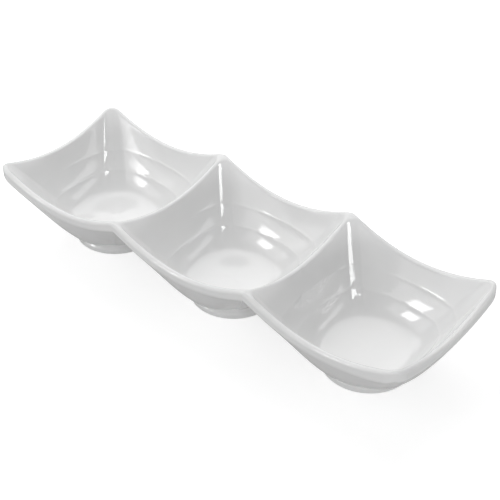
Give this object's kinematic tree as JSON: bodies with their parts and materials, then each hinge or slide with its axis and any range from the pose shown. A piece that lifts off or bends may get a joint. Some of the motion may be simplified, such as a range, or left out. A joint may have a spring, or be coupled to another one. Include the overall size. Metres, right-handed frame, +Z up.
{
  "type": "divided sauce dish",
  "caption": "Long white porcelain sauce dish: square wells in a row under one wavy, peaked rim, with saddle-shaped dividers between them and a round foot ring under each well.",
  "frame": {"origin": "on the table, under the centre of the middle well", "axes": "+X along the row of wells, towards the right-hand well seen from the front; +Y towards the back; +Z up"},
  "size_m": [0.273, 0.09, 0.0488],
  "materials": {
    "glaze": "glossy white glaze",
    "foot": "glossy white glaze, bare where it stands"
  },
  "bodies": {
    "root": {"bowl_left": "glaze", "bowl_middle": "glaze", "bowl_right": "glaze", "divider_crest_left": "glaze", "divider_crest_right": "glaze", "foot_ring_left": "foot", "foot_ring_middle": "foot", "foot_ring_right": "foot"}
  },
  "joints": []
}
